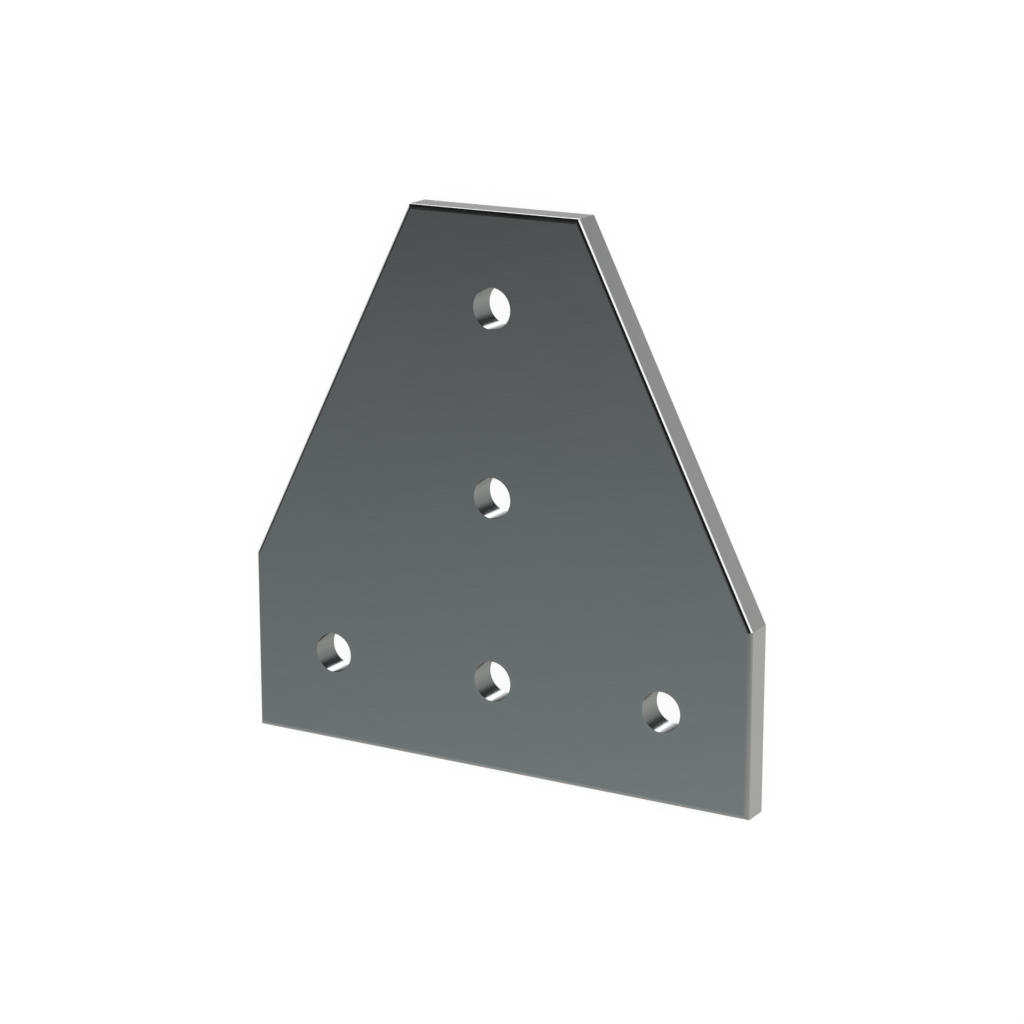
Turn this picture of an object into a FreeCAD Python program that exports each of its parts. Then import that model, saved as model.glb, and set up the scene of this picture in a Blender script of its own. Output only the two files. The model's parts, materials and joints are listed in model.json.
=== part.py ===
import FreeCAD, Part
import os

# Five-hole tee joining plate for slotted framing
# One flat plate of thick metal sheet. It lies over the joint of two framing bars
# that meet in a T: a row of holes for the cross bar, and a row for the stem bar
# that rises from the middle hole. The sides run straight past the cross bar and
# then taper to the stem's width.
#
# Frame: the origin is the axis of the junction hole, where the two rows meet, at
# the mounting face. +X runs along the cross bar, +Y up the stem, +Z out of the
# front face. All lengths are in millimetres.

# Hole pattern
HOLE_PITCH = 38.1  # from hole to hole, the width of one framing bar
CROSS_HOLES = 3  # holes along the cross bar, the junction hole in their middle
STEM_HOLES = 3  # holes up the stem, with the junction hole as the first
HOLE_DIAMETER = 8.33  # clearance for an 8 mm class bolt

# Outline
SIDE_MARGIN = 19.05  # from the outer cross hole's axis to the side edge
BOTTOM_MARGIN = 19.05  # from the cross row's axis to the bottom edge
TOP_MARGIN = 19.05  # from the last stem hole's axis to the top edge
SHOULDER_HEIGHT = 38.1  # straight part of each side, up from the bottom edge
TOP_WIDTH = 38.1  # length of the top edge, the width of the stem bar

# Section
THICKNESS = 6.35  # from the mounting face to the front face
FRONT_ROUND = 1.0  # radius of the rolled edge round the front face

# Modelling values
CUT_OVERRUN = 1.0  # how far a hole's cutter stands out of each face
PLANE_TOLERANCE = 1e-6  # how close an edge lies to the front plane to be on it


def cross_positions():
    """X of each hole along the cross bar, centred on the junction hole."""
    half_row = (CROSS_HOLES - 1) / 2 * HOLE_PITCH
    return [index * HOLE_PITCH - half_row for index in range(CROSS_HOLES)]


def stem_positions():
    """Y of each hole up the stem above the junction hole."""
    return [index * HOLE_PITCH for index in range(1, STEM_HOLES)]


def hole_centres():
    """Centres of all the holes on the mounting face: the cross row, then the stem."""
    cross_row = [(x, 0.0) for x in cross_positions()]
    stem_row = [(0.0, y) for y in stem_positions()]
    return cross_row + stem_row


def outline_corners():
    """The six corners of the outline, anticlockwise from the bottom left one."""
    half_width = max(cross_positions()) + SIDE_MARGIN
    half_top = TOP_WIDTH / 2
    bottom = -BOTTOM_MARGIN
    shoulder = bottom + SHOULDER_HEIGHT
    top = max(stem_positions()) + TOP_MARGIN
    return [
        (-half_width, bottom),
        (half_width, bottom),
        (half_width, shoulder),
        (half_top, top),
        (-half_top, top),
        (-half_width, shoulder),
    ]


def blank():
    """The outline as a solid plate, from the mounting face up to the front face."""
    corners = [FreeCAD.Vector(x, y, 0) for x, y in outline_corners()]
    border = Part.makePolygon(corners + corners[:1])
    return Part.Face(border).extrude(FreeCAD.Vector(0, 0, THICKNESS))


def front_rim(plate):
    """The edges of a plate that lie in the plane of its front face."""
    lowest_in_plane = THICKNESS - PLANE_TOLERANCE
    return [edge for edge in plate.Edges if edge.BoundBox.ZMin > lowest_in_plane]


def hole_cutter(centre):
    """A cylinder that runs through the plate and past both faces at a hole's centre."""
    x, y = centre
    start = FreeCAD.Vector(x, y, -CUT_OVERRUN)
    axis = FreeCAD.Vector(0, 0, 1)
    length = THICKNESS + 2 * CUT_OVERRUN
    return Part.makeCylinder(HOLE_DIAMETER / 2, length, start, axis)


def joining_plate():
    """The finished plate: the blank with its front edge rolled, then bored."""
    plate = blank()
    plate = plate.makeFillet(FRONT_ROUND, front_rim(plate))
    bores = [hole_cutter(centre) for centre in hole_centres()]
    return plate.cut(bores).Solids[0]


SUB_PARTS = {"joining_plate": joining_plate}


def main():
    """Build every sub-part and write it as a STEP file named after its node."""
    os.makedirs("parts", exist_ok=True)
    for name, build in SUB_PARTS.items():
        solid = build()
        solid.exportStep(os.path.join("parts", name + ".step"))
        box = solid.BoundBox
        print(
            f"{name}: {box.XLength:.2f} x {box.YLength:.2f} x {box.ZLength:.2f} mm,"
            f" {solid.Volume / 1000:.3f} cm3, valid {solid.isValid()}"
        )


main()
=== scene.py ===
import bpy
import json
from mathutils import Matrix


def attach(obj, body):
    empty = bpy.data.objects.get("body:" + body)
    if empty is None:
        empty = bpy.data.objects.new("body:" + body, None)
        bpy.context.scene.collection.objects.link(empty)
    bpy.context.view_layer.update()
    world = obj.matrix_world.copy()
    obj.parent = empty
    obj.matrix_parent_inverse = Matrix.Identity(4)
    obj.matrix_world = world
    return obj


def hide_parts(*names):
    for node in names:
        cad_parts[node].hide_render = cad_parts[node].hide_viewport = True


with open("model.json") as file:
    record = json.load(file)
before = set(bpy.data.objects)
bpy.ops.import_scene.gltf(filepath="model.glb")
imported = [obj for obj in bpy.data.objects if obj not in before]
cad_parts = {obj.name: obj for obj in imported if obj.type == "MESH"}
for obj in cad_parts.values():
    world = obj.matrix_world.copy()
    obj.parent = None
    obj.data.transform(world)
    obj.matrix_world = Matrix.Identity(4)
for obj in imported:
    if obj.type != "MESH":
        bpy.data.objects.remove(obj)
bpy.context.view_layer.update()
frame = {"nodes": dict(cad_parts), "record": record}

import json
import math

import bpy
import numpy as np
from mathutils import Matrix, Vector

bl_info = {
    "name": "Tee joining plate",
    "version": (1, 0, 0),
    "blender": (4, 5, 0),
    "location": "3D View > Sidebar > Joining plate",
    "description": "Builds a satin metal tee plate around its packed frame, with a pale studio",
    "category": "Object",
}

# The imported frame
NODE = "joining_plate"
BODY = "root"
CROSS_COUNT = 3  # holes in the cross row, which come first

# Lengths in metres
MILLIMETRE = 0.001
ON_PLANE = 0.001 * MILLIMETRE  # how close a vertex lies to a plane to be on it
WELD_GRID = 1e-6 * MILLIMETRE  # points on the same place of this grid become one
FLOOR_GAP = 0.02 * MILLIMETRE  # from the floor up to the mounting face
NEAR_CLIP = 10 * MILLIMETRE  # from the camera to the nearest thing that it sees


def node_points():
    """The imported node's vertices as rows of x, y and z."""
    mesh = frame["nodes"][NODE].data
    points = np.empty(len(mesh.vertices) * 3)
    mesh.vertices.foreach_get("co", points)
    return points.reshape(-1, 3)


def packed_outline():
    """Sizes of the outline and the section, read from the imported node.

    The back face is sharp, so its outermost vertices are the outline's corners. The rolled
    edge takes the top off each side face, so its radius is what is missing there.
    """
    points = node_points()
    low, high = points.min(axis=0), points.max(axis=0)
    on_back = points[np.abs(points[:, 2] - low[2]) < ON_PLANE]
    right_side = on_back[np.abs(on_back[:, 0] - high[0]) < ON_PLANE]
    top_side = on_back[np.abs(on_back[:, 1] - high[1]) < ON_PLANE]
    side_wall = points[np.abs(points[:, 0] - high[0]) < ON_PLANE]
    return {
        "half_width": high[0],
        "half_top": top_side[:, 0].max(),
        "bottom": low[1],
        "shoulder": right_side[:, 1].max(),
        "top": high[1],
        "thickness": high[2] - low[2],
        "front_round": high[2] - side_wall[:, 2].max(),
    }


def packed_holes():
    """Centre and radius of every stated bore: the cross row from -X to +X, then up the stem."""
    bores = [m for m in frame["record"]["mounts"] if m["kind"] == "bore"]
    centres = np.array([m["pos_m"][:2] for m in bores])
    order = np.lexsort((centres[:, 0], centres[:, 1]))
    radius = bores[0]["dims"]["r_mm"] * MILLIMETRE
    return centres[order], radius


OUTLINE = packed_outline()
HOLE_CENTRES, HOLE_RADIUS = packed_holes()
CROSS_HOLES = HOLE_CENTRES[:CROSS_COUNT]
STEM_HOLES = HOLE_CENTRES[CROSS_COUNT:]


class PlateShape(bpy.types.PropertyGroup):
    """Sizes of the plate's surface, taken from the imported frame."""

    thickness: bpy.props.FloatProperty(
        name="Thickness",
        description="From the mounting face to the front face",
        default=OUTLINE["thickness"],
        unit="LENGTH",
    )
    front_round: bpy.props.FloatProperty(
        name="Front edge radius",
        description="Radius of the rolled edge round the front face",
        default=OUTLINE["front_round"],
        unit="LENGTH",
    )
    hole_radius: bpy.props.FloatProperty(
        name="Hole radius",
        description="Radius of each bolt hole",
        default=HOLE_RADIUS,
        unit="LENGTH",
    )
    side_steps: bpy.props.IntProperty(
        name="Steps per hole pitch",
        description="Segments along one hole pitch, and round a quarter of each hole",
        default=24,
        min=4,
    )
    round_steps: bpy.props.IntProperty(
        name="Steps over the round",
        description="Segments over the quarter circle of the rolled edge",
        default=12,
        min=2,
    )


class PlateFinish(bpy.types.PropertyGroup):
    """Colour and surface of the metal."""

    colour: bpy.props.FloatVectorProperty(
        name="Metal colour",
        description="Colour that the metal gives to what it reflects",
        subtype="COLOR",
        default=(0.38, 0.4, 0.395),
        min=0.0,
        max=1.0,
    )
    roughness: bpy.props.FloatProperty(
        name="Roughness",
        description="Mean roughness of the satin surface",
        subtype="FACTOR",
        default=0.2,
        min=0.0,
        max=1.0,
    )
    grain_length: bpy.props.FloatProperty(
        name="Grain length",
        description="Length of a streak of the rolling grain",
        default=0.008,
        unit="LENGTH",
    )
    grain_width: bpy.props.FloatProperty(
        name="Grain width",
        description="Width of a streak of the rolling grain",
        default=0.00025,
        unit="LENGTH",
        precision=5,
    )
    grain_depth: bpy.props.FloatProperty(
        name="Grain depth",
        description="Depth of the rolling grain",
        default=3e-7,
        unit="LENGTH",
        precision=6,
    )
    cloud_size: bpy.props.FloatProperty(
        name="Cloud size",
        description="Width of the broad uneven patches in the sheen",
        default=0.025,
        unit="LENGTH",
    )


class StudioLight(bpy.types.PropertyGroup):
    """Strengths of the pale studio round the plate."""

    softbox_power: bpy.props.FloatProperty(
        name="Softbox power",
        description="Power of the large lamp on the right",
        default=7.0,
        min=0.0,
        unit="POWER",
    )
    softbox_width: bpy.props.FloatProperty(
        name="Softbox width",
        description="Level side of the lamp",
        default=0.8,
        unit="LENGTH",
    )
    softbox_height: bpy.props.FloatProperty(
        name="Softbox height",
        description="Upright side of the lamp",
        default=1.0,
        unit="LENGTH",
    )
    softbox_distance: bpy.props.FloatProperty(
        name="Softbox distance",
        description="From the junction hole to the lamp",
        default=1.2,
        unit="LENGTH",
    )
    softbox_bearing: bpy.props.FloatProperty(
        name="Softbox bearing",
        description="Angle of the lamp from the cross row, towards the stem",
        subtype="ANGLE",
        default=math.radians(24.0),
    )
    softbox_rise: bpy.props.FloatProperty(
        name="Softbox rise",
        description="Angle of the lamp above the floor",
        subtype="ANGLE",
        default=math.radians(50.0),
    )
    ceiling_tint: bpy.props.FloatVectorProperty(
        name="Ceiling tint",
        description="Colour of the dim ceiling in the metal's reflections",
        subtype="COLOR",
        default=(0.92, 0.99, 1.0),
        min=0.0,
        max=1.0,
    )
    head_tint: bpy.props.FloatVectorProperty(
        name="Head tint",
        description="Colour of the ceiling past the plate's top in the metal's reflections",
        subtype="COLOR",
        default=(0.975, 0.915, 0.95),
        min=0.0,
        max=1.0,
    )
    neutral_tint: bpy.props.FloatVectorProperty(
        name="Neutral tint",
        description="Colour of the light panels and the far table in the metal's reflections",
        subtype="COLOR",
        default=(1.0, 0.965, 0.985),
        min=0.0,
        max=1.0,
    )
    warm_tint: bpy.props.FloatVectorProperty(
        name="Warm tint",
        description="Colour of the walls and the table's foot in the metal's reflections",
        subtype="COLOR",
        default=(1.0, 0.965, 0.92),
        min=0.0,
        max=1.0,
    )
    wall_level: bpy.props.FloatProperty(
        name="Wall level",
        description="Brightness of the walls in the metal's reflections",
        default=0.65,
        min=0.0,
    )
    flag_level: bpy.props.FloatProperty(
        name="Flag level",
        description="Brightness of the black flags in the metal's reflections",
        default=0.015,
        min=0.0,
    )
    panel_level: bpy.props.FloatProperty(
        name="Panel level",
        description="Brightness of the right light panel in the metal's reflections",
        default=2.4,
        min=0.0,
    )
    fill_level: bpy.props.FloatProperty(
        name="Fill level",
        description="Brightness of the left light panel in the metal's reflections",
        default=1.5,
        min=0.0,
    )
    echo_level: bpy.props.FloatProperty(
        name="Echo level",
        description="Most that a ray sees of the room once the metal has reflected it twice",
        default=0.25,
        min=0.0,
    )
    soft_sky: bpy.props.FloatProperty(
        name="Soft sky",
        description="Even light that falls on matt surfaces from all round",
        default=0.75,
        min=0.0,
    )
    floor_white: bpy.props.FloatProperty(
        name="Floor white share",
        description="Share of plain white in the floor as the camera sees it",
        subtype="FACTOR",
        default=0.93,
        min=0.0,
        max=1.0,
    )
    floor_size: bpy.props.FloatProperty(
        name="Floor size",
        description="Side of the square floor",
        default=8.0,
        unit="LENGTH",
    )


class StudioView(bpy.types.PropertyGroup):
    """Where the camera stands, measured from the plate's front face."""

    turn: bpy.props.FloatProperty(
        name="Turn",
        description="Angle of the camera to the right of the face's normal",
        subtype="ANGLE",
        default=math.radians(30.0),
    )
    rise: bpy.props.FloatProperty(
        name="Rise",
        description="Angle of the camera above the face's normal, up the stem",
        subtype="ANGLE",
        default=math.radians(15.0),
    )
    field: bpy.props.FloatProperty(
        name="Field of view",
        description="Angle across the square picture",
        subtype="ANGLE",
        default=math.radians(20.0),
    )
    distance: bpy.props.FloatProperty(
        name="Distance",
        description="From the camera to the point that it aims at",
        default=0.57267,
        unit="LENGTH",
    )
    aim: bpy.props.FloatVectorProperty(
        name="Aim",
        description="Point on the front face at the middle of the picture",
        subtype="XYZ",
        default=(0.004581, 0.035919, 0.00635),
        unit="LENGTH",
    )


# Surfaces

RING_POWER = 1.5  # crowds the rings of points on a face towards their hole
CELLS_PER_SIDE = (3, 1, 2, 1, 2, 1)  # runs of side_steps along each side, from the bottom one on

# Wear from handling, with a painted highlight on the hole lips
LIP_REACH = 0.4 * MILLIMETRE  # how far it fades away from a hole's lip
EDGE_REACH = 0.5  # how far it spreads over the rolled edge, as a share of the radius


def mitred_corners(inset):
    """The outline's six corners, anticlockwise from the bottom left, moved in by a distance.

    Each corner moves along the sum of its two sides' outward normals divided by one plus
    their dot product, so that both sides move in by exactly that distance.
    """
    o = OUTLINE
    corners = np.array(
        [
            (-o["half_width"], o["bottom"]),
            (o["half_width"], o["bottom"]),
            (o["half_width"], o["shoulder"]),
            (o["half_top"], o["top"]),
            (-o["half_top"], o["top"]),
            (-o["half_width"], o["shoulder"]),
        ]
    )
    after = side_normals(corners)
    before = np.roll(after, 1, axis=0)
    dots = (before * after).sum(axis=1, keepdims=True)
    return corners - inset * (before + after) / (1 + dots)


def side_normals(corners):
    """Outward unit normal of each side that runs from a corner to the next, anticlockwise."""
    along = np.roll(corners, -1, axis=0) - corners
    outward = np.stack([along[:, 1], -along[:, 0]], axis=1)
    return outward / np.linalg.norm(outward, axis=1, keepdims=True)


def straight(start, end, steps):
    """Points at even shares of the straight line between two points, both ends included."""
    share = np.linspace(0.0, 1.0, steps + 1)[:, None]
    return (1 - share) * np.asarray(start) + share * np.asarray(end)


def ruled(first, second, shares):
    """A grid between two lines of points: each row is first plus a share of second minus first."""
    share = np.asarray(shares)[:, None, None]
    return (1 - share) * first[None] + share * second[None]


def lifted(plan, height):
    """Plan points with a height added as their z."""
    return np.concatenate([plan, np.full(plan.shape[:-1] + (1,), height)], axis=-1)


def circle(centre, radius, steps):
    """Points round a circle, anticlockwise from the bottom left diagonal, the first repeated."""
    angle = np.linspace(0.0, 2 * np.pi, steps + 1) - 0.75 * np.pi
    return centre + radius * np.stack([np.cos(angle), np.sin(angle)], axis=1)


class Patch:
    """One grid of points with its normals, its flow map in metres, and 1 where a bore wall gets
    its painted shade.
    """

    def __init__(self, points, normals, flow, bored=0.0):
        self.points = points
        self.normals = np.broadcast_to(normals, points.shape)
        self.flow = flow
        self.bored = np.full(points.shape[:2], bored)


def cell_corners(inset):
    """Corners of the square cell round each hole, and of the two gussets beside the stem.

    The cells are cut halfway between neighbouring holes, and end at the outline moved in by
    the inset.
    """
    corner = mitred_corners(inset)
    half_pitch = (CROSS_HOLES[1, 0] - CROSS_HOLES[0, 0]) / 2
    stem_pitch = STEM_HOLES[0, 1] - CROSS_HOLES[1, 1]
    low = CROSS_HOLES[1, 1] + stem_pitch / 2
    high = low + stem_pitch
    thirds = np.array([[1.0], [2.0]]) / 3
    foot = corner[0] + (corner[1] - corner[0]) * thirds
    left_low, right_low = np.array([(-half_pitch, low), (half_pitch, low)])
    left_high, right_high = np.array([(-half_pitch, high), (half_pitch, high)])
    cells = [
        (corner[0], foot[0], left_low, corner[5]),
        (foot[0], foot[1], right_low, left_low),
        (foot[1], corner[1], corner[2], right_low),
        (left_low, right_low, right_high, left_high),
        (left_high, right_high, corner[3], corner[4]),
    ]
    gussets = [
        (corner[5], corner[4], left_low, left_high),
        (corner[2], corner[3], right_low, right_high),
    ]
    return cells, gussets


def face_patches(shape, inset, height, normal):
    """A flat face: a ring of rays from each hole to its cell, and a ruled gusset at each side.

    A cell is ruled from the hole's circle to the cell's border with the same number of
    points. A gusset is ruled from the slanted side to the stem cells' sides, and closes to
    the point where they meet at the top.
    """
    steps = shape.side_steps
    cells, gussets = cell_corners(inset)
    rings = np.linspace(0.0, 1.0, steps // 2 + 1) ** RING_POWER
    plans = []
    for centre, corners in zip(HOLE_CENTRES, cells):
        around = list(corners) + [corners[0]]
        sides = [straight(a, b, steps)[:-1] for a, b in zip(around, around[1:])]
        border = np.concatenate(sides + [[corners[0]]])
        rim = circle(centre, shape.hole_radius, 4 * steps)
        plans.append(ruled(rim, border, rings))
    for shoulder, top, low, high in gussets:
        slant = straight(shoulder, top, 2 * steps)
        stem = np.concatenate([straight(low, high, steps)[:-1], straight(high, top, steps)])
        plans.append(ruled(slant, stem, np.linspace(0.0, 1.0, steps + 1)))
    return [Patch(lifted(plan, height), normal, plan) for plan in plans]


def edge_profile(shape):
    """The edge's section from the front face to the back: insets, heights, tilts and lengths.

    Over the round, the inset is radius times one minus the sine of the tilt, and the drop
    below the front face is radius times one minus its cosine. The wall below is straight.
    """
    radius = shape.front_round
    tilt = np.linspace(0.0, np.pi / 2, shape.round_steps + 1)
    wall = np.linspace(shape.thickness - radius, 0.0, shape.round_steps // 2 + 1)[1:]
    insets = np.concatenate([radius * (1 - np.sin(tilt)), np.zeros_like(wall)])
    heights = np.concatenate([shape.thickness - radius * (1 - np.cos(tilt)), wall])
    tilts = np.concatenate([tilt, np.full_like(wall, np.pi / 2)])
    lengths = np.concatenate([radius * tilt, radius * (np.pi / 2 - 1) + shape.thickness - wall])
    return insets, heights, tilts, lengths


def edge_patches(shape):
    """The edge's section carried along each side of the outline, mitred at the corners."""
    insets, heights, tilts, lengths = edge_profile(shape)
    rings = np.array([mitred_corners(inset) for inset in insets])
    outward = side_normals(rings[-1])
    side_lengths = np.linalg.norm(np.roll(rings[-1], -1, axis=0) - rings[-1], axis=1)
    starts = np.concatenate([[0.0], np.cumsum(side_lengths)])
    patches = []
    for side, cells in enumerate(CELLS_PER_SIDE):
        share = np.linspace(0.0, 1.0, cells * shape.side_steps + 1)[None, :, None]
        start = rings[:, None, side]
        end = rings[:, None, (side + 1) % len(CELLS_PER_SIDE)]
        plan = (1 - share) * start + share * end
        height = np.broadcast_to(heights[:, None, None], plan.shape[:2] + (1,))
        normal = np.stack(
            [
                outward[side, 0] * np.sin(tilts),
                outward[side, 1] * np.sin(tilts),
                np.cos(tilts),
            ],
            axis=1,
        )
        along = starts[side] + share[..., 0] * side_lengths[side]
        flow = np.stack(np.broadcast_arrays(along, lengths[:, None]), axis=-1)
        points = np.concatenate([plan, height], axis=-1)
        patches.append(Patch(points, normal[:, None, :], flow))
    return patches


def bore_patches(shape):
    """Each hole's wall: its circle ruled from the front face straight down to the back."""
    steps = 4 * shape.side_steps
    depth = np.linspace(0.0, 1.0, shape.round_steps // 2 + 1)
    patches = []
    for centre in HOLE_CENTRES:
        plan = circle(centre, shape.hole_radius, steps)
        points = ruled(lifted(plan, shape.thickness), lifted(plan, 0.0), depth)
        inward = lifted((centre - plan) / shape.hole_radius, 0.0)
        around = np.linspace(0.0, 2 * np.pi * shape.hole_radius, steps + 1)
        flow = np.stack(np.broadcast_arrays(around, depth[:, None] * shape.thickness), axis=-1)
        # The wall is marked for the painted shade of the bore.
        patches.append(Patch(points, inward[None], flow, bored=1.0))
    return patches


def patch_quads(patch, first):
    """Corner indices of a patch's quads, counted from its first point, facing its normals."""
    rows, columns = patch.points.shape[:2]
    index = first + np.arange(rows * columns).reshape(rows, columns)
    quads = np.stack([index[:-1, :-1], index[:-1, 1:], index[1:, 1:], index[1:, :-1]], axis=-1)
    down = patch.points[1, 0] - patch.points[0, 0]
    across = patch.points[0, 1] - patch.points[0, 0]
    if np.dot(np.cross(across, down), patch.normals[0, 0]) < 0:
        quads = quads[..., ::-1]
    return quads.reshape(-1, 4)


def wear_and_sheen(points, shape):
    """How worn each point is from handling, from 0 to 1; near the hole lips it also sets a painted
    highlight.

    It falls off exponentially with the distance from the nearest hole's front lip, and as a
    bell over the distance from the middle of the rolled edge.
    """
    offsets = points[:, None, :2] - HOLE_CENTRES[None]
    off_wall = np.linalg.norm(offsets, axis=2).min(axis=1) - shape.hole_radius
    off_front = shape.thickness - points[:, 2]
    lip = np.exp(-np.hypot(off_wall, off_front) / LIP_REACH)
    corners = mitred_corners(0.0)
    outward = side_normals(corners)
    inset = ((corners[None] - points[:, None, :2]) * outward[None]).sum(axis=2)
    arc_middle = shape.front_round * (1 - math.sin(math.pi / 4))
    off_edge = np.hypot(inset.min(axis=1) - arc_middle, off_front - arc_middle)
    edge = np.exp(-((off_edge / (EDGE_REACH * shape.front_round)) ** 2))
    return np.maximum(lip, edge)


def welded_mesh(name, patches, shape):
    """One closed mesh of all the patches, with exact normals, a flow map and two attributes.

    Points that fall on the same place of a very fine grid become one vertex. A quad that
    closes to a point keeps three corners.
    """
    counts = np.cumsum([0] + [p.points.shape[0] * p.points.shape[1] for p in patches])
    quads = np.concatenate([patch_quads(p, n) for p, n in zip(patches, counts)])
    points = np.concatenate([p.points.reshape(-1, 3) for p in patches])
    normals = np.concatenate([p.normals.reshape(-1, 3) for p in patches])
    flow = np.concatenate([p.flow.reshape(-1, 2) for p in patches])
    bored = np.concatenate([p.bored.ravel() for p in patches])
    keys = np.round(points / WELD_GRID).astype(np.int64)
    _, kept, vertex = np.unique(keys, axis=0, return_index=True, return_inverse=True)
    vertex = vertex.reshape(-1)
    corners = vertex[quads]
    repeated = corners == np.roll(corners, -1, axis=1)
    whole = quads[~repeated.any(axis=1)]
    closed = quads[repeated.any(axis=1)]
    closed = closed[~repeated[repeated.any(axis=1)]].reshape(-1, 3)
    mesh = bpy.data.meshes.new(name)
    mesh.from_pydata(points[kept], [], vertex[whole].tolist() + vertex[closed].tolist())
    used = np.concatenate([whole.reshape(-1), closed.reshape(-1)])
    mesh.uv_layers.new(name="flow").uv.foreach_set("vector", flow[used].ravel())
    # Mask of the bore walls for their painted shade
    mesh.attributes.new("bored", "FLOAT", "CORNER").data.foreach_set("value", bored[used])
    # Wear from handling, with a painted highlight at the hole lips
    worn = mesh.attributes.new("worn", "FLOAT", "POINT")
    worn.data.foreach_set("value", wear_and_sheen(points[kept], shape))
    mesh.polygons.foreach_set("use_smooth", np.ones(len(mesh.polygons), bool))
    mesh.normals_split_custom_set(normals[used].tolist())
    return mesh


# Finish

GRAIN_DETAIL = 3.0
CLOUD_DETAIL = 2.0
NOISE_LOW, NOISE_HIGH = 0.3, 0.7  # where the noise of both is cut off
GRAIN_ROUGHNESS = 0.02  # most that the grain adds to the roughness, or takes from it
CLOUD_ROUGHNESS = 0.025  # the same for the clouds
WORN_ROUGHNESS = -0.1  # what full wear adds to the roughness
# The share of the bare tone is wear, and at the hole lips also a painted highlight.
WORN_AND_SHEEN_SHARE = 0.5  # share of the bare tone at full wear

# Tones as shares of the metal's colour
DARK_GRAIN, LIGHT_GRAIN = 0.97, 1.03
# The bare tone is worn metal, and at the hole lips also a painted highlight.
BARE_METAL_AND_SHEEN = 1.1
# The bore tone is a painted shade of the holes' recesses.
BORE_SHADE_TONE = (0.62, 0.655, 0.655)


class Graph:
    """A node tree under construction."""

    def __init__(self, tree):
        tree.nodes.clear()
        self.tree = tree

    def put(self, kind, inputs, **settings):
        """Add a node with its settings. Each input takes a number, a colour or an output."""
        node = self.tree.nodes.new(kind)
        for name, value in settings.items():
            setattr(node, name, value)
        for key, value in inputs.items():
            if isinstance(value, bpy.types.NodeSocket):
                self.tree.links.new(value, node.inputs[key])
            else:
                node.inputs[key].default_value = value
        return node

    def math(self, operation, first, second=0.0):
        """The result of a Math node's operation on two values."""
        node = self.put("ShaderNodeMath", {0: first, 1: second}, operation=operation)
        return node.outputs[0]

    def product(self, first, *others):
        """Several values multiplied together."""
        for other in others:
            first = self.math("MULTIPLY", first, other)
        return first

    def ramp(self, value, start, end, smooth=False):
        """A value carried from one pair of input and result to another, and held beyond them."""
        node = self.put(
            "ShaderNodeMapRange",
            {
                "Value": value,
                "From Min": start[0],
                "From Max": end[0],
                "To Min": start[1],
                "To Max": end[1],
            },
            interpolation_type="SMOOTHSTEP" if smooth else "LINEAR",
        )
        return node.outputs["Result"]

    def mix(self, share, first, second):
        """A number between two numbers."""
        node = self.put("ShaderNodeMix", {0: share, 2: first, 3: second}, data_type="FLOAT")
        return node.outputs[0]

    def tint(self, colour, level):
        """A colour times a number that the graph works out."""
        node = self.put(
            "ShaderNodeMix", {0: 1.0, 6: colour, 7: level}, data_type="RGBA", blend_type="MULTIPLY"
        )
        return node.outputs[2]

    def blend(self, share, first, second):
        """A colour between two colours."""
        node = self.put("ShaderNodeMix", {0: share, 6: first, 7: second}, data_type="RGBA")
        return node.outputs[2]

    def darken(self, share, first, second):
        """A colour held down to a second one by a share."""
        node = self.put(
            "ShaderNodeMix",
            {0: share, 6: first, 7: second},
            data_type="RGBA",
            blend_type="DARKEN",
        )
        return node.outputs[2]

    def noise(self, place, scale, stretch, detail):
        """Cloudy noise from 0 to 1 over a place in metres, scaled by a factor on each axis."""
        grain = self.put("ShaderNodeMapping", {"Vector": place, "Scale": stretch})
        node = self.put(
            "ShaderNodeTexNoise",
            {"Vector": grain.outputs["Vector"], "Scale": scale, "Detail": detail},
        )
        return node.outputs["Fac"]


def grey(value):
    """A neutral colour."""
    return (value, value, value, 1.0)


def lit(tint, level):
    """A tint at a brightness."""
    return (*(Vector(tint) * level), 1.0)


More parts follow.
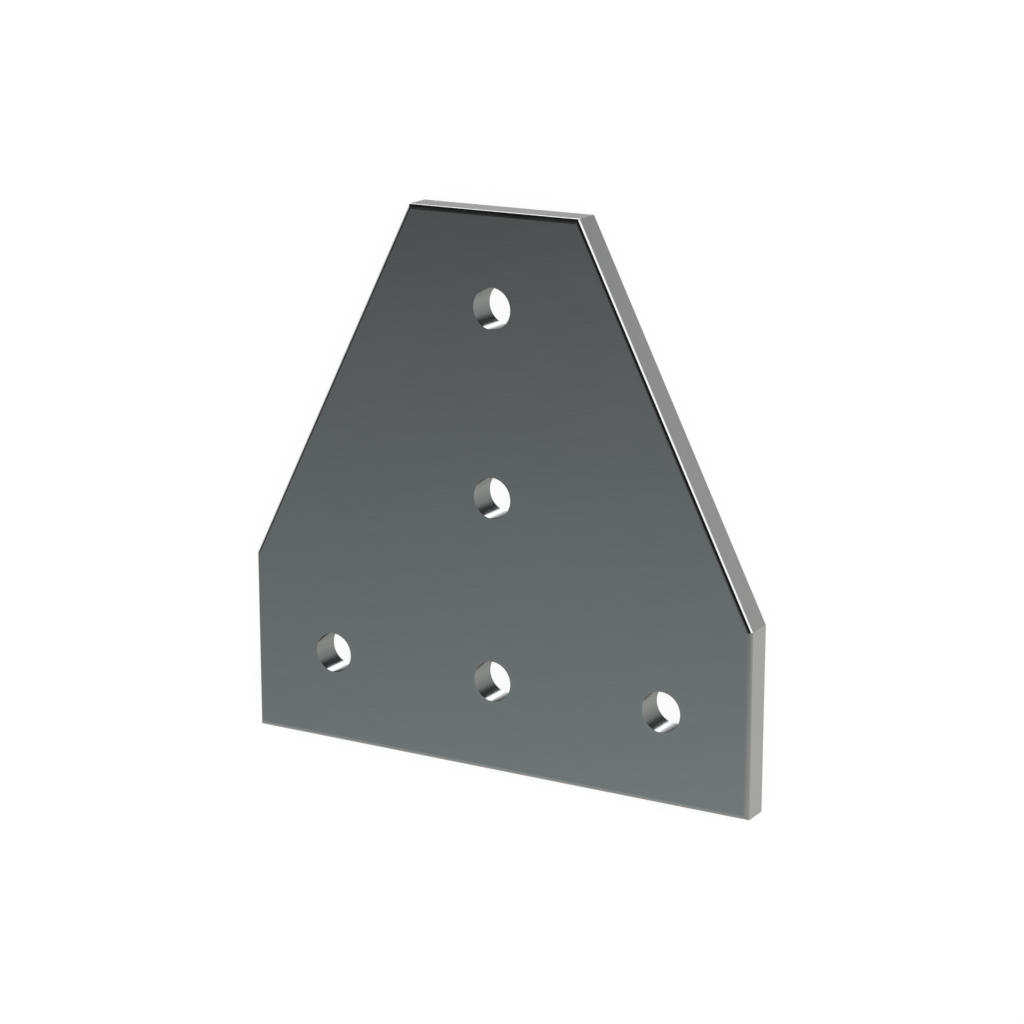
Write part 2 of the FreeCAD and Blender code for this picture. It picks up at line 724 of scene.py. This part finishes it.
def satin_metal(finish):
    """Satin aluminium.

    A fine grain follows the flow map: it runs along X on the faces, along the rolled edge and
    the side walls, and round each bore. Broad clouds make the sheen slightly uneven, and the
    rolled edge and the front lips of the holes are a little smoother and lighter from handling;
    the lighter tone at the lips is also a painted highlight. The bore walls are darker: a
    painted shade of the holes' recesses.
    """
    material = bpy.data.materials.new("satin_aluminium")
    material.use_nodes = True
    graph = Graph(material.node_tree)
    flow = graph.put("ShaderNodeUVMap", {}, uv_map="flow").outputs["UV"]
    place = graph.put("ShaderNodeTexCoord", {}).outputs["Object"]
    worn = graph.put("ShaderNodeAttribute", {}, attribute_name="worn").outputs["Fac"]
    bored = graph.put("ShaderNodeAttribute", {}, attribute_name="bored").outputs["Fac"]
    across = (1 / finish.grain_length, 1 / finish.grain_width, 1.0)
    grain = graph.noise(flow, 1.0, across, GRAIN_DETAIL)
    clouds = graph.noise(place, 1 / finish.cloud_size, (1.0, 1.0, 1.0), CLOUD_DETAIL)
    uneven = graph.ramp(clouds, (NOISE_LOW, -CLOUD_ROUGHNESS), (NOISE_HIGH, CLOUD_ROUGHNESS))
    streaks = graph.ramp(grain, (NOISE_LOW, -GRAIN_ROUGHNESS), (NOISE_HIGH, GRAIN_ROUGHNESS))
    handled = graph.math("MULTIPLY", worn, WORN_ROUGHNESS)
    rough = graph.math("ADD", graph.math("ADD", uneven, streaks), handled)
    rough = graph.math("ADD", rough, finish.roughness)
    dark, light = lit(finish.colour, DARK_GRAIN), lit(finish.colour, LIGHT_GRAIN)
    tone = graph.blend(graph.ramp(grain, (NOISE_LOW, 0.0), (NOISE_HIGH, 1.0)), dark, light)
    bare_and_sheen = graph.math("MULTIPLY", worn, WORN_AND_SHEEN_SHARE)
    # Lighter worn tone on the rolled edge and hole lips; at the lips a painted highlight.
    tone = graph.blend(bare_and_sheen, tone, lit(finish.colour, BARE_METAL_AND_SHEEN))
    # Darker bore walls: painted shade inside the holes.
    tone = graph.blend(bored, tone, (*(np.array(finish.colour) * BORE_SHADE_TONE), 1.0))
    bump = graph.put(
        "ShaderNodeBump", {"Strength": 1.0, "Distance": finish.grain_depth, "Height": grain}
    )
    metal = graph.put(
        "ShaderNodeBsdfPrincipled",
        {
            "Base Color": tone,
            "Metallic": 1.0,
            "Roughness": rough,
            "Normal": bump.outputs["Normal"],
        },
    )
    graph.put("ShaderNodeOutputMaterial", {"Surface": metal.outputs["BSDF"]})
    return material


# Studio

# The room is given by a ray's direction. Its x, y and z are parts of a unit ray to the right,
# past the plate's top and up, and its bearing is in degrees from the right towards the top.
# A ramp has a place and a level at each end, a band has a middle, a half width and a fade,
# and a panel has a bearing, a middle height, a half width and a half height.
HORIZON = (-0.02, 0.0), (0.02, 1.0)

CEILING_START = (0.1, 0.0), (0.4, 1.0)
CEILING_FOOT = (-0.42, 1.0), (-0.15, 0.0)
CEILING_FOOT_BEND = 1.35
CEILING_RIGHT = (-0.5, 0.375), (0.9, 0.63)
CEILING_HEAD = (0.02, 0.198), (0.9, 0.66)
HEAD_TINT_TOP = (-0.2, 0.0), (-0.155, 1.0)
HEAD_TINT_RIGHT = (-0.4, 0.0), (0.1, 1.0)
WALL_RIGHT = (-0.95, 0.5), (-0.5, 1.0)

TABLE_FAR = (-0.75, 0.85), (0.0, 0.55)
TABLE_NEUTRAL = (-28.0, 0.0), (50.0, 1.0)
DARK_RIGHT = (-15.0, 0.89), (25.0, 0.68)
DARK_TOP = (30.0, 1.0), (62.0, 0.14)
DARK_FOOT = (-160.0, 0.15), (-50.0, 1.0)
DARK_BORDER = (-0.75, 1.0), (-0.6, 0.0)
BRIGHT_NEAR_SIDE = (100.2, 0.0), (103.7, 1.0)
BRIGHT_FAR_SIDE = (123.5, 4.0), (146.5, 0.62)
BRIGHT_END = (157.0, 1.0), (177.0, 0.2)
BRIGHT_BORDER = (-0.67, 1.0), (-0.55, 0.0)
BRIGHT_WIDENING = (-0.87, -1.0), (-0.795, 1.0)  # from the steepest rays outwards
NEAR_SIDE_TURN, FAR_SIDE_TURN = 3.0, 6.0  # degrees that each side turns by as it widens

RIGHT_FLAG_BEARING = 25.0
RIGHT_FLAG_BAND = -0.01, 0.13, 0.1
RIGHT_FLAG_START = (0.05, 0.0), (0.17, 1.0)
RIGHT_FLAG_SLANT = 0.5
TOP_FLAGS_START = (0.04, 0.0), (0.16, 1.0)
TOP_FLAGS_SLANT = 0.4
BEHIND_FLAG_BAND = -0.5, 0.05, 0.08
BEHIND_FLAG_FOOT = (-0.53, 0.0), (-0.4, 1.0)
LEFT_FLAG_BAND = -0.76, 0.18, 0.08
LEFT_FLAG_SHARE = 0.9
LEFT_FLAG_END = (0.03, 1.0), (0.12, 0.0)
LEFT_FLAG_FOOT = (0.3, 0.0), (0.4, 1.0)

RIGHT_PANEL = 25.0, 0.0, 0.24, 0.34
LEFT_PANEL = 178.0, -0.28, 0.15, 0.27
PANEL_SIDE_FADE, PANEL_END_FADE = 0.1, 0.08

ONE_REFLECTION = 1.5  # a ray with more glossy bounces than this has met the metal twice


def floor_paper(light):
    """White paper: a share of plain white as it is seen, and matt white that takes shadows."""
    material = bpy.data.materials.new("floor_paper")
    material.use_nodes = True
    graph = Graph(material.node_tree)
    path = graph.put("ShaderNodeLightPath", {}).outputs
    through = graph.math("MAXIMUM", path["Is Glossy Ray"], path["Is Transmission Ray"])
    seen = graph.math("MAXIMUM", path["Is Camera Ray"], through)
    share = graph.math("MULTIPLY", seen, light.floor_white)
    white = graph.put("ShaderNodeEmission", {"Color": grey(1.0), "Strength": share})
    matt = graph.put("ShaderNodeBsdfDiffuse", {"Color": grey(1.0 - light.floor_white)})
    both = graph.put("ShaderNodeAddShader", {0: matt.outputs[0], 1: white.outputs[0]})
    graph.put("ShaderNodeOutputMaterial", {"Surface": both.outputs[0]})
    return material


def floor_sheet(light):
    """A flat square of paper round the origin, a hair below the plate's mounting face."""
    half = light.floor_size / 2
    corners = np.array([(-half, -half), (half, -half), (half, half), (-half, half)])
    mesh = bpy.data.meshes.new("floor")
    mesh.from_pydata(lifted(corners, -FLOOR_GAP).tolist(), [], [(0, 1, 2, 3)])
    mesh.materials.append(floor_paper(light))
    floor = bpy.data.objects.new("floor", mesh)
    floor.visible_glossy = False
    bpy.context.scene.collection.objects.link(floor)
    return floor


def ceiling_level(graph, x, y):
    """Brightness overhead: dim, and rising evenly towards the foot, the right and the top."""
    foot = graph.math("POWER", graph.ramp(y, *CEILING_FOOT), CEILING_FOOT_BEND)
    right = graph.ramp(x, *CEILING_RIGHT)
    head = graph.ramp(y, *CEILING_HEAD)
    return graph.math("ADD", graph.math("MULTIPLY", foot, right), head)


def table_level(graph, bearing, z):
    """Brightness below the horizon: a white table, with a dark and a bright card laid on it.

    Both cards lie close round the plate, so that only steep rays meet them. The dark card
    deepens round the compass from the plate's right to its top, where the bright card starts
    sharply. The bright one fades out towards the left, and widens away from the plate.
    """
    far = graph.ramp(z, *TABLE_FAR)
    right, top = graph.ramp(bearing, *DARK_RIGHT), graph.ramp(bearing, *DARK_TOP)
    dark = graph.product(right, top, graph.ramp(bearing, *DARK_FOOT))
    outward = graph.ramp(z, *BRIGHT_WIDENING)
    near_side = graph.math("ADD", bearing, graph.math("MULTIPLY", outward, NEAR_SIDE_TURN))
    far_side = graph.math("SUBTRACT", bearing, graph.math("MULTIPLY", outward, FAR_SIDE_TURN))
    bright = graph.ramp(far_side, *BRIGHT_FAR_SIDE, smooth=True)
    bright = graph.math("MULTIPLY", bright, graph.ramp(bearing, *BRIGHT_END))
    on_bright = graph.ramp(near_side, *BRIGHT_NEAR_SIDE, smooth=True)
    cards = graph.mix(on_bright, dark, bright)
    dark_border = graph.ramp(z, *DARK_BORDER, smooth=True)
    bright_border = graph.ramp(z, *BRIGHT_BORDER, smooth=True)
    return graph.mix(graph.mix(on_bright, dark_border, bright_border), far, cards)


def compass(graph, x, y, bearing):
    """How far a direction reaches towards a bearing in degrees, and how far to its left."""
    towards = (math.cos(math.radians(bearing)), math.sin(math.radians(bearing)))
    ahead = graph.math(
        "ADD", graph.math("MULTIPLY", x, towards[0]), graph.math("MULTIPLY", y, towards[1])
    )
    aside = graph.math(
        "SUBTRACT", graph.math("MULTIPLY", y, towards[0]), graph.math("MULTIPLY", x, towards[1])
    )
    return ahead, aside


def within(graph, value, middle, core, fade):
    """One where a value is near a middle, falling smoothly to nothing over a fade."""
    off = graph.math("ABSOLUTE", graph.math("SUBTRACT", value, middle))
    return graph.ramp(off, (core, 1.0), (core + fade, 0.0), smooth=True)


def flag_share(graph, x, y, z):
    """Share of black: three narrow flags, so that each shows as a line in the rolled edge.

    One reaches out from overhead to the right, one hangs down past the plate's top on the
    left, and a weaker one stays high up on the far left.
    """
    ahead, aside = compass(graph, x, y, RIGHT_FLAG_BEARING)
    slanted = graph.math("ADD", ahead, graph.math("MULTIPLY", aside, RIGHT_FLAG_SLANT))
    right = graph.product(
        graph.ramp(slanted, *RIGHT_FLAG_START, smooth=True),
        within(graph, aside, *RIGHT_FLAG_BAND),
        graph.ramp(z, *HORIZON),
    )
    behind = graph.product(
        within(graph, x, *BEHIND_FLAG_BAND),
        graph.ramp(z, *BEHIND_FLAG_FOOT, smooth=True),
    )
    left = graph.product(
        within(graph, x, *LEFT_FLAG_BAND),
        LEFT_FLAG_SHARE,
        graph.ramp(y, *LEFT_FLAG_END, smooth=True),
        graph.ramp(z, *LEFT_FLAG_FOOT, smooth=True),
    )
    slanted = graph.math("SUBTRACT", y, graph.math("MULTIPLY", x, TOP_FLAGS_SLANT))
    started = graph.ramp(slanted, *TOP_FLAGS_START, smooth=True)
    top = graph.math("MULTIPLY", graph.math("MAXIMUM", behind, left), started)
    return graph.math("MAXIMUM", right, top)


def panel_share(graph, x, y, z, bearing, middle, half_width, half_height):
    """Share of an upright light panel at a bearing, which fades out at its sides and ends."""
    ahead, aside = compass(graph, x, y, bearing)
    wide = within(graph, aside, 0.0, half_width, PANEL_SIDE_FADE)
    high = within(graph, z, middle, half_height, PANEL_END_FADE)
    return graph.product(wide, high, graph.math("GREATER_THAN", ahead, 0.0))


def studio_world(light):
    """The room round the plate, by the direction that a ray leaves in.

    Metal sees a dim ceiling with black flags, grey walls, two light panels and a white table,
    all of them held down to the echo level once a ray has met the metal twice, as in a hole.
    Matt surfaces get the even soft sky, and the camera sees white.
    """
    world = bpy.data.worlds.new("studio")
    world.use_nodes = True
    graph = Graph(world.node_tree)
    direction = graph.put("ShaderNodeTexCoord", {}).outputs["Generated"]
    axes = graph.put("ShaderNodeSeparateXYZ", {"Vector": direction}).outputs
    x, y, z = axes["X"], axes["Y"], axes["Z"]
    radians = graph.math("ARCTAN2", y, x)
    bearing = graph.math("MULTIPLY", radians, math.degrees(1.0))
    neutral, warm = lit(light.neutral_tint, 1.0), lit(light.warm_tint, 1.0)
    head = graph.ramp(y, *HEAD_TINT_TOP, smooth=True)
    head = graph.math("MAXIMUM", head, graph.ramp(x, *HEAD_TINT_RIGHT))
    ceiling = graph.blend(head, lit(light.ceiling_tint, 1.0), lit(light.head_tint, 1.0))
    ceiling = graph.tint(ceiling, ceiling_level(graph, x, y))
    wall_level = graph.math("MULTIPLY", graph.ramp(x, *WALL_RIGHT), light.wall_level)
    walls = graph.tint(warm, wall_level)
    upper = graph.blend(graph.ramp(z, *CEILING_START, smooth=True), walls, ceiling)
    table = graph.blend(graph.ramp(bearing, *TABLE_NEUTRAL), warm, neutral)
    table = graph.tint(table, table_level(graph, bearing, z))
    room = graph.blend(graph.ramp(z, *HORIZON), table, upper)
    room = graph.blend(flag_share(graph, x, y, z), room, grey(light.flag_level))
    right_panel = lit(light.neutral_tint, light.panel_level)
    left_panel = lit(light.neutral_tint, light.fill_level)
    room = graph.blend(panel_share(graph, x, y, z, *RIGHT_PANEL), room, right_panel)
    room = graph.blend(panel_share(graph, x, y, z, *LEFT_PANEL), room, left_panel)
    path = graph.put("ShaderNodeLightPath", {}).outputs
    seen = graph.math("MAXIMUM", path["Is Camera Ray"], path["Is Transmission Ray"])
    again = graph.math("GREATER_THAN", path["Glossy Depth"], ONE_REFLECTION)
    room = graph.darken(again, room, grey(light.echo_level))
    soft = graph.blend(path["Is Glossy Ray"], grey(light.soft_sky), room)
    colour = graph.blend(seen, soft, grey(1.0))
    sky = graph.put("ShaderNodeBackground", {"Color": colour, "Strength": 1.0})
    graph.put("ShaderNodeOutputWorld", {"Surface": sky.outputs["Background"]})
    bpy.context.scene.world = world


def softbox(light):
    """A rectangular lamp that faces the plate, from its bearing off +X and its rise."""
    data = bpy.data.lights.new("softbox", "AREA")
    data.shape = "RECTANGLE"
    data.size, data.size_y = light.softbox_width, light.softbox_height
    data.energy = light.softbox_power
    bearing, rise = light.softbox_bearing, light.softbox_rise
    towards = Vector(
        (
            math.cos(bearing) * math.cos(rise),
            math.sin(bearing) * math.cos(rise),
            math.sin(rise),
        )
    )
    lamp = bpy.data.objects.new("softbox", data)
    lamp.location = towards * light.softbox_distance
    lamp.rotation_euler = towards.to_track_quat("Z", "Y").to_euler()
    lamp.visible_glossy = False
    bpy.context.scene.collection.objects.link(lamp)


def camera(view):
    """A level camera of the photograph's angle to the plate's front face.

    Its back points out of the face's normal turned to the right and then raised up the stem,
    and its right hand lies in the plane of X and Z.
    """
    turn, rise = view.turn, view.rise
    back = Vector(
        (
            math.sin(turn) * math.cos(rise),
            math.sin(rise),
            math.cos(turn) * math.cos(rise),
        )
    )
    right = Vector((math.cos(turn), 0.0, -math.sin(turn)))
    up = back.cross(right)
    place = Matrix((right, up, back)).transposed().to_4x4()
    place.translation = Vector(view.aim) + back * view.distance
    data = bpy.data.cameras.new("camera")
    data.angle = view.field
    data.clip_start = NEAR_CLIP
    stand = bpy.data.objects.new("camera", data)
    stand.matrix_world = place
    bpy.context.scene.collection.objects.link(stand)
    bpy.context.scene.camera = stand


class JOININGPLATE_OT_plate(bpy.types.Operator):
    """Build the plate's surface and finish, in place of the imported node"""

    bl_idname = "joiningplate.plate"
    bl_label = "Plate"

    def execute(self, context):
        shape = context.scene.plate_shape
        front = face_patches(shape, shape.front_round, shape.thickness, (0.0, 0.0, 1.0))
        back = face_patches(shape, 0.0, 0.0, (0.0, 0.0, -1.0))
        patches = front + back + edge_patches(shape) + bore_patches(shape)
        mesh = welded_mesh("plate", patches, shape)
        mesh.materials.append(satin_metal(context.scene.plate_finish))
        plate = bpy.data.objects.new("plate", mesh)
        context.scene.collection.objects.link(plate)
        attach(plate, BODY)
        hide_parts(NODE)
        return {"FINISHED"}


class JOININGPLATE_OT_studio(bpy.types.Operator):
    """Set up the pale floor, the soft light and the camera"""

    bl_idname = "joiningplate.studio"
    bl_label = "Studio"

    def execute(self, context):
        scene = context.scene
        floor_sheet(scene.plate_light)
        studio_world(scene.plate_light)
        softbox(scene.plate_light)
        camera(scene.plate_view)
        scene.view_settings.view_transform = "Standard"
        return {"FINISHED"}


class JOININGPLATE_PT_panel(bpy.types.Panel):
    """The plate's sizes, finish, light and view, with a button for each operator"""

    bl_idname = "JOININGPLATE_PT_panel"
    bl_label = "Tee joining plate"
    bl_space_type = "VIEW_3D"
    bl_region_type = "UI"
    bl_category = "Joining plate"

    def draw(self, context):
        for pointer, group, title in GROUPS:
            box = self.layout.box()
            box.label(text=title)
            for name in group.__annotations__:
                box.prop(getattr(context.scene, pointer), name)
        self.layout.operator(JOININGPLATE_OT_plate.bl_idname)
        self.layout.operator(JOININGPLATE_OT_studio.bl_idname)


GROUPS = (
    ("plate_shape", PlateShape, "Shape"),
    ("plate_finish", PlateFinish, "Finish"),
    ("plate_light", StudioLight, "Light"),
    ("plate_view", StudioView, "View"),
)
TOOLS = (JOININGPLATE_OT_plate, JOININGPLATE_OT_studio, JOININGPLATE_PT_panel)


def register():
    """Register every class, and put the groups of values on the scene."""
    for pointer, group, _ in GROUPS:
        bpy.utils.register_class(group)
        setattr(bpy.types.Scene, pointer, bpy.props.PointerProperty(type=group))
    for tool in TOOLS:
        bpy.utils.register_class(tool)


def unregister():
    """Take away what register added, in reverse."""
    for tool in reversed(TOOLS):
        bpy.utils.unregister_class(tool)
    for pointer, group, _ in reversed(GROUPS):
        delattr(bpy.types.Scene, pointer)
        bpy.utils.unregister_class(group)


def main():
    register()
    bpy.ops.joiningplate.plate()
    bpy.ops.joiningplate.studio()


if __name__ == "__main__":
    main()
